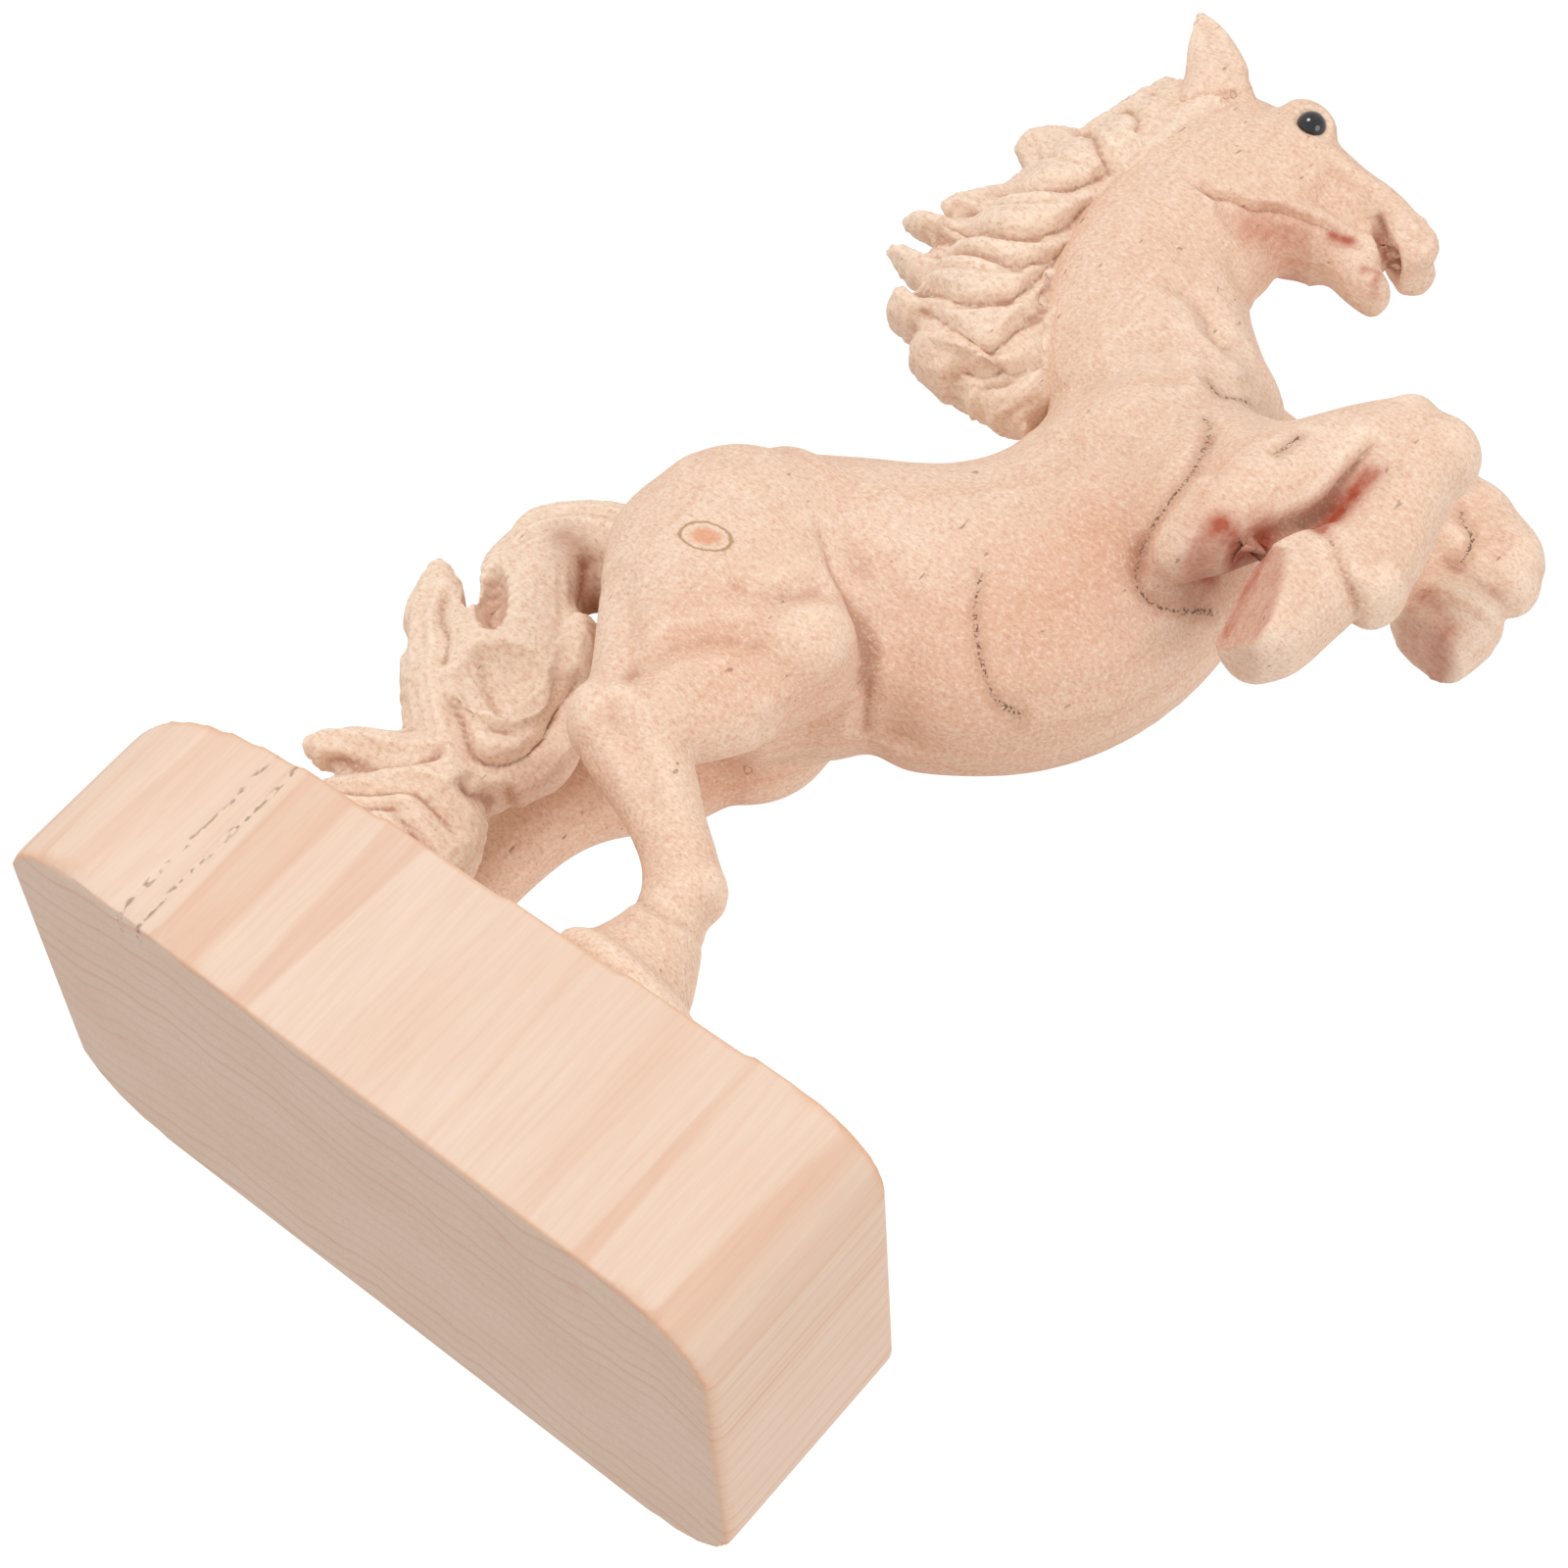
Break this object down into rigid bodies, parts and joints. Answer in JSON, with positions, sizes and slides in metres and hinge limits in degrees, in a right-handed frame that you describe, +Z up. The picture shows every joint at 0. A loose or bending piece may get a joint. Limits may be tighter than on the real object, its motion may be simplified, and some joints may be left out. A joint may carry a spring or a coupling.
{
  "type": "carved rearing horse figure",
  "caption": "Rearing horse carved with its block base from pale unpainted wood, with flowing mane, S-shaped tail and black bead eyes.",
  "frame": {"origin": "centre of the block's flat underside", "axes": "+Z up, +X the way the horse faces, +Y the horse's left"},
  "size_m": [0.0809, 0.048, 0.1491],
  "materials": {
    "carved_wood": "bare wood, fine tool marks",
    "hair_wood": "bare wood, carved grooves",
    "block_wood": "bare wood, sanded",
    "bead": "polished black bead"
  },
  "bodies": {
    "root": {"base": "block_wood", "torso": "carved_wood", "neck": "carved_wood", "head": "carved_wood", "lower_jaw": "carved_wood", "near_ear": "carved_wood", "off_ear": "carved_wood", "mane": "hair_wood", "tail": "hair_wood", "near_foreleg": "carved_wood", "off_foreleg": "carved_wood", "near_hind_leg": "carved_wood", "off_hind_leg": "carved_wood", "near_eye": "bead", "off_eye": "bead"}
  },
  "joints": []
}
